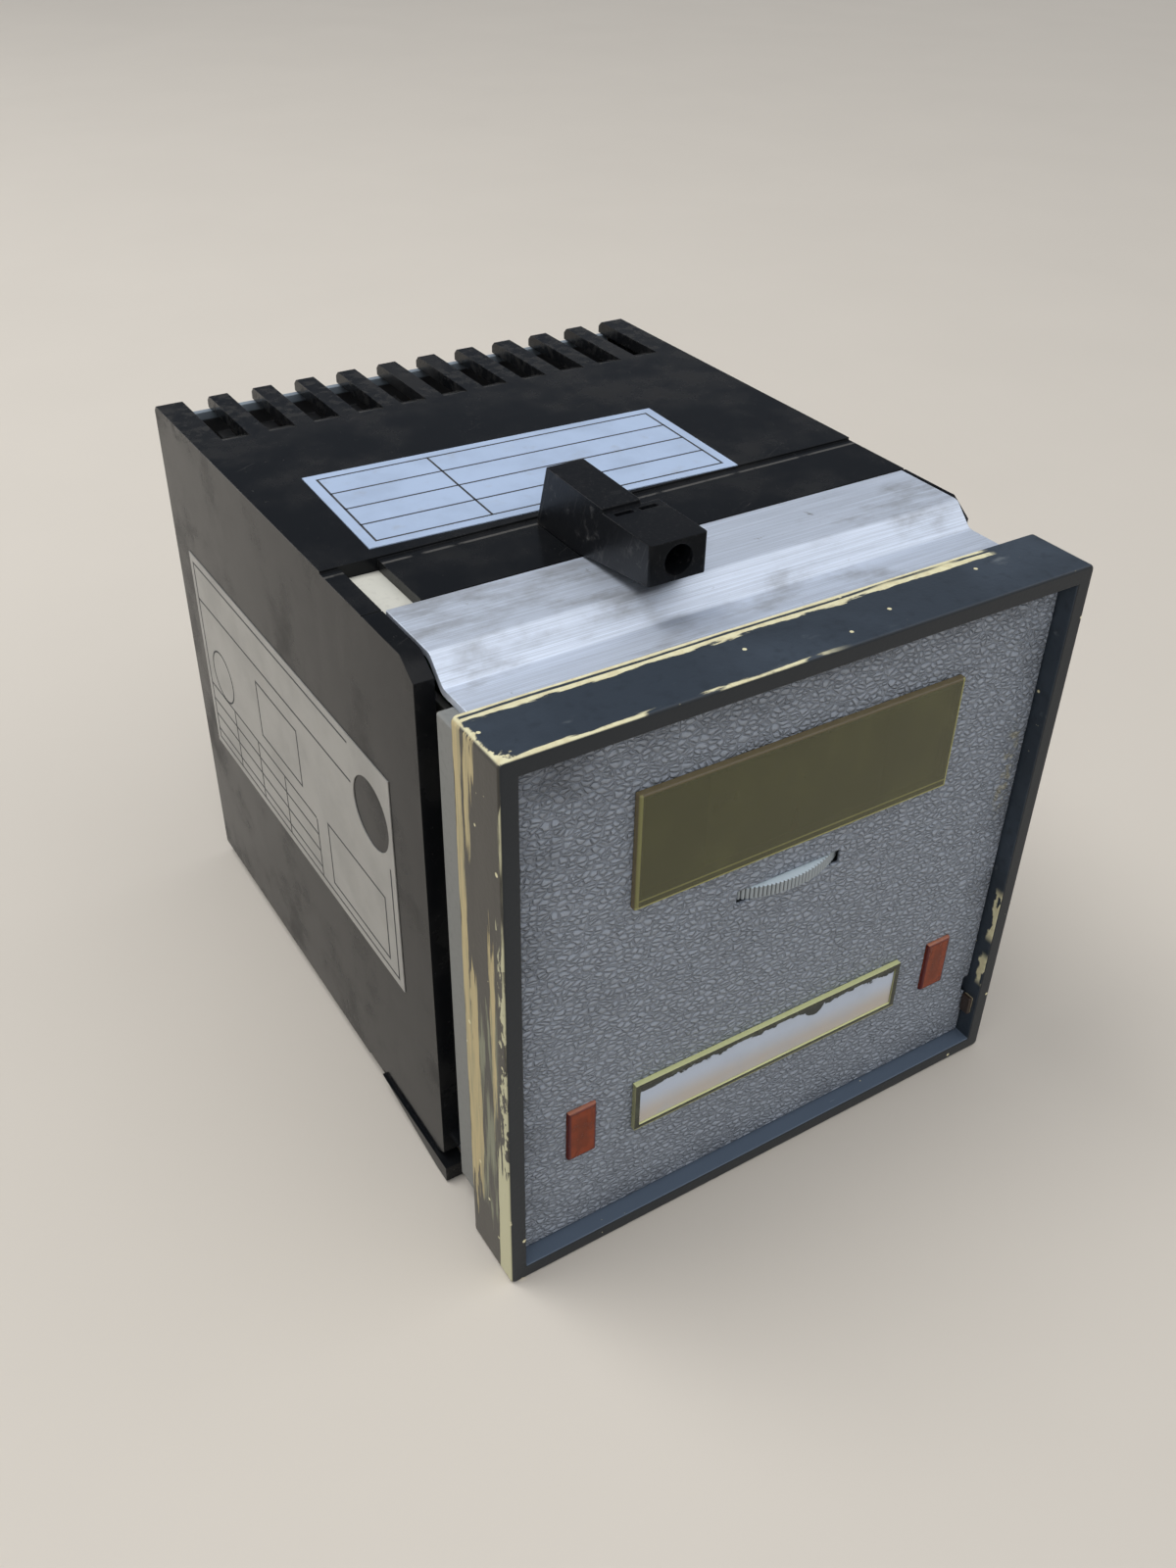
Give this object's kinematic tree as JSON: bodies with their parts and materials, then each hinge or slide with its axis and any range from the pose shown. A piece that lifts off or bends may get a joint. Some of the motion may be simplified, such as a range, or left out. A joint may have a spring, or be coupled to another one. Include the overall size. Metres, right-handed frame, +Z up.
{
  "type": "panel temperature controller",
  "caption": "Panel-mounted PID temperature controller with a thumbwheel setpoint, tinted scale window and plug-in sleeve.",
  "frame": {"origin": "middle of the underside of the whole instrument's box", "axes": "+X to the right seen from the front, +Y from the front to the terminals at the rear, +Z up"},
  "size_m": [0.096, 0.122, 0.1057],
  "materials": {
    "sleeve_plastic": "glossy black moulding, scratched and dusty",
    "bezel_paint": "slate blue-grey paint worn to the pale base at the edges",
    "collar_grey": "light grey, matt",
    "band_aluminium": "brushed across",
    "panel_grain": "mid grey with a leather grain",
    "window_tint": "yellow-green tinted, clear edge",
    "mask_dark": "dark, matt",
    "index_red": "red",
    "indicator_orange": "translucent orange",
    "lamp_glass": "clear",
    "badge_clear": "clear bar with a pale edge",
    "foil_silver": "silver foil, flaked",
    "catch_black": "black with a worn tip",
    "wheel_grey": "pale grey",
    "steel": "bright",
    "zinc_plate": "zinc plated",
    "case_black": "black",
    "board_green": "green solder resist",
    "core_iron": "varnished laminations",
    "coil_tape": "amber tape",
    "can_aluminium": "plain",
    "relay_case": "smoky",
    "guide_cream": "cream",
    "block_bluegrey": "pale blue-grey",
    "brass": "plain",
    "clamp_black": "black moulding, scuffed",
    "label_silver": "silver-white foil"
  },
  "bodies": {
    "sleeve": {"case_sleeve": "sleeve_plastic", "card_guide_left": "guide_cream", "card_guide_right": "guide_cream", "skid_left": "guide_cream", "skid_right": "guide_cream", "rear_panel": "case_black", "edge_connector_left": "block_bluegrey", "edge_connector_right": "block_bluegrey", "terminal_block_upper": "block_bluegrey", "terminal_block_lower": "block_bluegrey", "terminals_upper": "brass", "terminals_lower": "brass", "terminal_screws_upper": "steel", "terminal_screws_lower": "steel", "top_label": "label_silver", "side_label": "label_silver"},
    "chassis": {"bezel_frame": "bezel_paint", "cutout_collar": "collar_grey", "chassis_band_top": "band_aluminium", "chassis_band_bottom": "band_aluminium", "front_panel": "panel_grain", "display_window": "window_tint", "scale_mask": "mask_dark", "red_index": "index_red", "indicator_left": "indicator_orange", "indicator_right": "indicator_orange", "lamp_left": "lamp_glass", "lamp_right": "lamp_glass", "badge_bar": "badge_clear", "badge_foil": "foil_silver", "side_catch": "catch_black", "pot_bracket": "zinc_plate", "potentiometer": "case_black", "pot_nut": "brass", "chassis_tray": "zinc_plate", "front_board": "board_green", "circuit_board_left": "board_green", "circuit_board_right": "board_green", "chips_left": "case_black", "chips_right": "case_black", "board_spacers": "brass", "transformer_core": "core_iron", "transformer_coil": "coil_tape", "smoothing_capacitor": "can_aluminium", "output_relay": "relay_case"},
    "setting_wheel": {"thumbwheel": "wheel_grey", "scale_drum": "wheel_grey", "setting_spindle": "steel"},
    "clamp": {"mounting_clamp": "clamp_black", "clamp_hook": "clamp_black"}
  },
  "joints": [
    {"name": "chassis_slide", "type": "slide", "parent": "sleeve", "child": "chassis", "axis": [0, -1, 0], "range_m": [0, 0.1]},
    {"name": "setpoint_turn", "type": "hinge", "parent": "chassis", "child": "setting_wheel", "pos_m": [0.0003, -0.0406, 0.05725], "axis": [0, 0, 1], "range_deg": [-135, 135]},
    {"name": "clamp_slide", "type": "slide", "parent": "sleeve", "child": "clamp", "axis": [0, 1, 0], "range_m": [0, 0.0011]}
  ]
}
